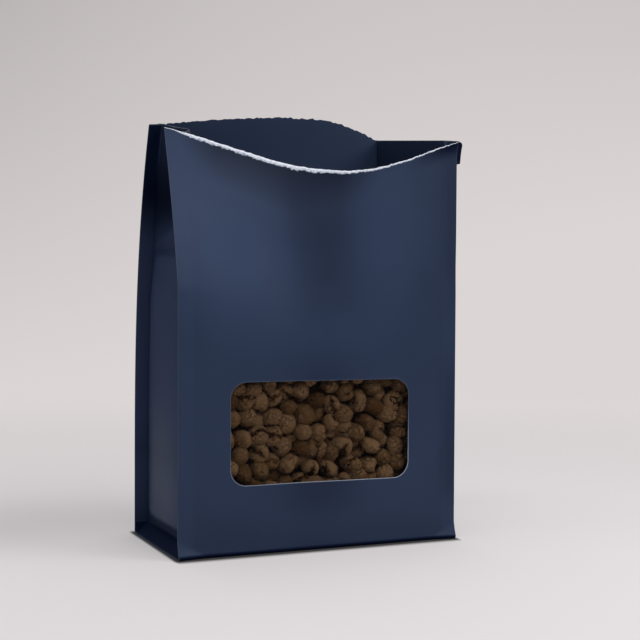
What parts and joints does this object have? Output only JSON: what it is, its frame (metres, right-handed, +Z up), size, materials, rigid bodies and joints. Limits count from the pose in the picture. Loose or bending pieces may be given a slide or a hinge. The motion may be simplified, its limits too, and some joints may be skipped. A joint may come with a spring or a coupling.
{
  "type": "flat bottom pet food bag",
  "caption": "Flat bottom laminate bag with side gussets, sealed corner fins and a clear window, torn open along the top and filled with dry food.",
  "frame": {"origin": "on the floor under the middle of the base", "axes": "+Z up, +Y from the window side to the back, +X to the right seen from the window side"},
  "size_m": [0.2443, 0.1317, 0.3591],
  "materials": {
    "laminate": "matt dark blue",
    "clear_film": "clear, slightly hazy",
    "dry_food": "dull brown, porous"
  },
  "bodies": {
    "root": {"main_panel": "laminate", "left_gusset": "laminate", "right_gusset": "laminate", "window_film": "clear_film", "kibble": "dry_food"}
  },
  "joints": []
}
